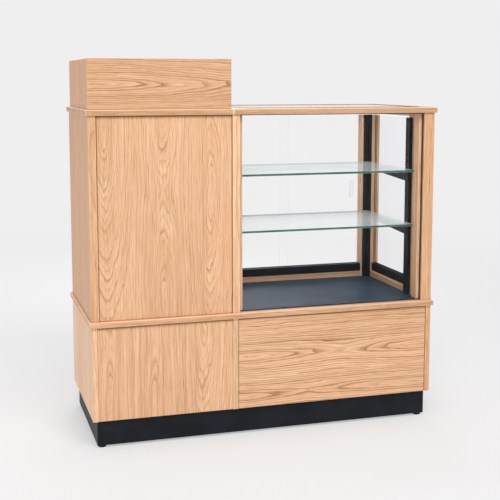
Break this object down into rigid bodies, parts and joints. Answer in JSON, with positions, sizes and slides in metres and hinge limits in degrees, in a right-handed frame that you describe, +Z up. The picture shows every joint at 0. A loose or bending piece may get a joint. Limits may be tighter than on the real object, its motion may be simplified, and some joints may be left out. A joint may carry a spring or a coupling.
{
  "type": "glass display counter",
  "caption": "Oak display counter: a closed tower with a header box beside a glazed case with glass shelves, on an oak base with a recessed black plinth.",
  "frame": {"origin": "on the floor, under the middle of the counter's box", "axes": "+X to the customer's right along the counter's length, +Y towards the staff side, +Z up"},
  "size_m": [1.216, 0.516, 1.264],
  "materials": {
    "oak": "clear satin lacquer on oak veneer",
    "black_laminate": "matt black laminate",
    "black_metal": "satin black powder coat",
    "slate_laminate": "fine matt slate-grey laminate",
    "glass": "clear float glass with polished green edges",
    "steel": "satin steel",
    "rubber": "black moulded pad",
    "light_diffuser": "opal white diffuser"
  },
  "bodies": {
    "counter": {"base_bottom": "oak", "base_left_panel": "oak", "base_left_side": "oak", "base_partition": "oak", "base_right_panel": "oak", "base_right_side": "oak", "bracket_lower_left": "black_metal", "bracket_lower_right": "black_metal", "bracket_upper_left": "black_metal", "bracket_upper_right": "black_metal", "display_deck": "slate_laminate", "front_glass": "glass", "header_back": "oak", "header_front": "oak", "header_left": "oak", "header_right": "oak", "header_top": "oak", "hinge_frame_leaf": "steel", "light_bar_back": "light_diffuser", "light_bar_right": "light_diffuser", "lower_track": "black_metal", "plinth_back": "black_laminate", "plinth_front": "black_laminate", "plinth_left": "black_laminate", "plinth_right": "black_laminate", "post_back_right": "oak", "post_front_right": "oak", "rear_sill": "oak", "shelf_lower": "glass", "shelf_upper": "glass", "side_channel": "black_metal", "side_glass": "glass", "side_sill": "oak", "standard_back_left": "black_metal", "standard_back_right": "black_metal", "standard_front_left": "black_metal", "standard_front_right": "black_metal", "storage_shelf": "oak", "top_glass": "glass", "top_rail_back": "oak", "top_rail_front": "oak", "top_rail_left": "oak", "top_rail_right": "oak", "tower_left_side": "oak", "tower_panel": "oak", "tower_partition": "oak", "tower_shelf": "oak", "tower_top": "oak", "upper_track": "black_metal", "waist_board": "oak"},
    "tower_door": {"tower_door": "oak", "tower_door_pull": "steel", "hinge_door_leaf": "steel"},
    "glass_door_left": {"glass_door_left": "glass"},
    "glass_door_right": {"glass_door_right": "glass"},
    "foot_front_left": {"foot_front_left": "rubber"},
    "foot_front_right": {"foot_front_right": "rubber"},
    "foot_back_left": {"foot_back_left": "rubber"},
    "foot_back_right": {"foot_back_right": "rubber"}
  },
  "joints": [
    {"name": "tower_door_hinge", "type": "hinge", "parent": "counter", "child": "tower_door", "pos_m": [-0.5735, 0.2532, 0.754], "axis": [0, 0, 1], "range_deg": [0, 110]},
    {"name": "glass_door_left_slide", "type": "slide", "parent": "counter", "child": "glass_door_left", "axis": [1, 0, 0], "range_m": [0, 0.298]},
    {"name": "glass_door_right_slide", "type": "slide", "parent": "counter", "child": "glass_door_right", "axis": [-1, 0, 0], "range_m": [0, 0.298]},
    {"name": "foot_front_left_screw", "type": "slide", "parent": "counter", "child": "foot_front_left", "axis": [0, 0, -1], "range_m": [0, 0.012]},
    {"name": "foot_front_right_screw", "type": "slide", "parent": "counter", "child": "foot_front_right", "axis": [0, 0, -1], "range_m": [0, 0.012]},
    {"name": "foot_back_left_screw", "type": "slide", "parent": "counter", "child": "foot_back_left", "axis": [0, 0, -1], "range_m": [0, 0.012]},
    {"name": "foot_back_right_screw", "type": "slide", "parent": "counter", "child": "foot_back_right", "axis": [0, 0, -1], "range_m": [0, 0.012]}
  ]
}
